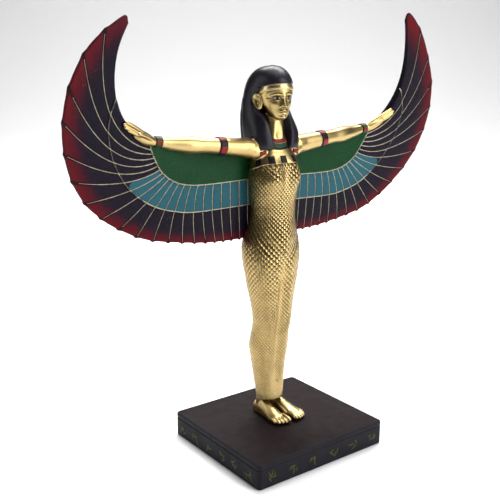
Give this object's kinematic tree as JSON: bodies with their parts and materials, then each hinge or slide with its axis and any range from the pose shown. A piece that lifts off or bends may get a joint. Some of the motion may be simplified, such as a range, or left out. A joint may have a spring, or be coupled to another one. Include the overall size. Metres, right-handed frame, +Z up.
{
  "type": "winged goddess statuette",
  "caption": "Standing winged goddess statuette in ancient Egyptian style, arms and feathered wings outspread, in a scaled sheath dress, on a low rectangular plinth; a shelf ornament.",
  "frame": {"origin": "centre of the plinth's underside, at the height of the surface it stands on", "axes": "+Z up; the figure faces -Y; +X towards the figure's left wing"},
  "size_m": [0.2902, 0.0954, 0.2866],
  "materials": {
    "painted_figure": "cold-cast resin, hand-painted: antique gold skin and dress, black wig, green, turquoise, indigo and red wings",
    "painted_plinth": "cold-cast resin, painted satin brown-black"
  },
  "bodies": {
    "root": {"winged_figure": "painted_figure", "plinth": "painted_plinth"}
  },
  "joints": []
}
